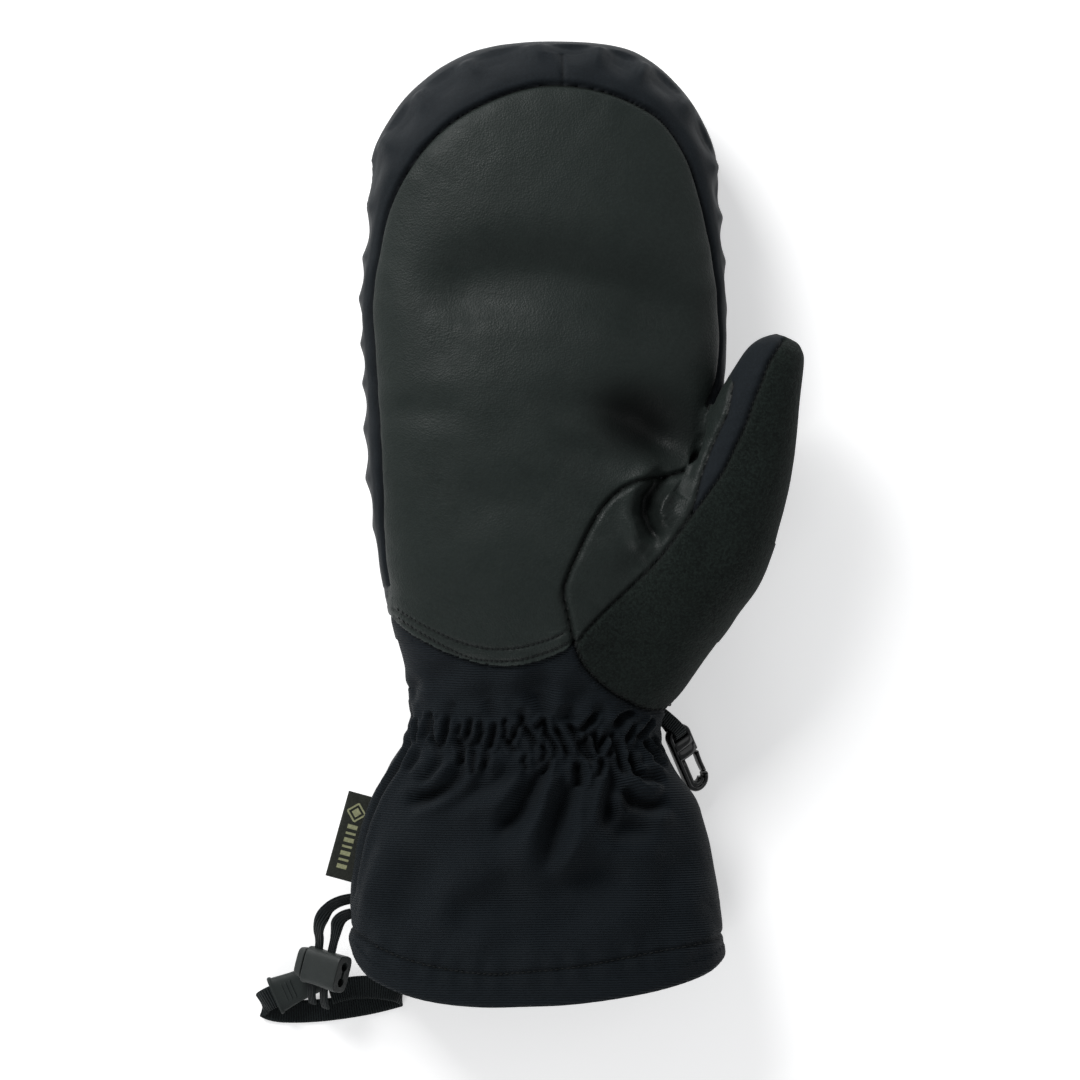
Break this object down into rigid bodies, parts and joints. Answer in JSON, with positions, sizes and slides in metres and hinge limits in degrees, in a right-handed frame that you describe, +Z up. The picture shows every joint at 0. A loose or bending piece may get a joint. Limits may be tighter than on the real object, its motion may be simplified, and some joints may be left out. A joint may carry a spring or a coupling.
{
  "type": "ski mitten",
  "caption": "Insulated ski mitten for the right hand with leather palm, gathered wrist, long gauntlet, cord lock on a webbing pull, and a small snap clip.",
  "frame": {"origin": "on the flat face that the mitten lies on, half way along it", "axes": "+Z up out of the palm, +Y towards the finger tip, +X towards the thumb"},
  "size_m": [0.19, 0.3411, 0.0591],
  "materials": {
    "palm_leather": "fine grained synthetic leather, soft sheen",
    "band_leather": "fine grained synthetic leather",
    "thumb_suede": "brushed, matt",
    "softshell": "smooth woven softshell",
    "gauntlet_cloth": "woven cloth with fine ribs",
    "membrane": "thin waterproof film laminate",
    "wadding": "synthetic wadding",
    "fleece": "brushed fleece",
    "elastic": "ribbed elastic",
    "webbing": "ribbed grosgrain",
    "moulded": "fine matt texture",
    "grip_rubber": "matt",
    "spring_steel": "drawn wire",
    "clip_plastic": "glossy moulded",
    "label_weave": "woven label"
  },
  "bodies": {
    "hand": {"palm_panel": "palm_leather", "thumb_gusset": "palm_leather", "side_band_outer": "band_leather", "side_band_inner": "band_leather", "back_hand_panel": "softshell", "thumb_base_panel": "thumb_suede", "heel_panel": "gauntlet_cloth", "waterproof_insert": "membrane", "insulation_palm": "wadding", "insulation_back": "wadding", "lining_hand": "fleece"},
    "thumb": {"thumb_outer_panel": "thumb_suede", "thumb_inner_panel": "palm_leather", "thumb_side_panel": "softshell", "waterproof_insert_thumb": "membrane", "insulation_thumb": "wadding", "lining_thumb": "fleece"},
    "gauntlet": {"gauntlet_front": "gauntlet_cloth", "gauntlet_back": "gauntlet_cloth", "gauntlet_lining": "softshell", "hem_facing": "softshell", "wrist_elastic": "elastic", "hem_drawcord": "elastic", "drawcord_strand_outer": "elastic", "drawcord_strand_inner": "elastic", "pull_web": "webbing", "pull_grip": "grip_rubber", "clip_tab": "webbing", "side_label": "label_weave", "care_label": "label_weave"},
    "cord_lock": {"cord_lock_housing": "moulded", "cord_lock_spring": "spring_steel"},
    "lock_plunger": {"cord_lock_plunger": "moulded"},
    "clip": {"clip_frame": "clip_plastic"},
    "gate": {"clip_gate": "clip_plastic"}
  },
  "joints": [
    {"name": "thumb_flex", "type": "hinge", "parent": "hand", "child": "thumb", "pos_m": [0.05034, 0.01239, 0.0387], "axis": [0.8995, -0.437, 0], "range_deg": [-8, 35], "stiffness_Nm_per_rad": 0.6},
    {"name": "wrist_flex", "type": "hinge", "parent": "hand", "child": "gauntlet", "pos_m": [0, -0.073, 0.024], "axis": [-1, 0, 0], "range_deg": [0, 25], "stiffness_Nm_per_rad": 1.5},
    {"name": "cord_lock_slide", "type": "slide", "parent": "gauntlet", "child": "cord_lock", "axis": [0.2419, 0.9703, 0], "range_m": [-0.001, 0.0015]},
    {"name": "plunger_press", "type": "slide", "parent": "cord_lock", "child": "lock_plunger", "axis": [0.8138, -0.2029, 0.5446], "range_m": [0, 0.0008], "stiffness_N_per_m": 900, "springref_m": -0.0012, "deforming": ["cord_lock_spring"]},
    {"name": "clip_swing", "type": "hinge", "parent": "gauntlet", "child": "clip", "pos_m": [0.03784, -0.07228, 0.01699], "axis": [-0.7621, -0.5243, 0.3798], "range_deg": [-3, 60]},
    {"name": "gate_press", "type": "hinge", "parent": "clip", "child": "gate", "pos_m": [0.04484, -0.08018, 0.01037], "axis": [-0.5442, 0.2008, -0.8146], "range_deg": [0, 22], "stiffness_Nm_per_rad": 0.02, "springref_deg": -2.86}
  ]
}
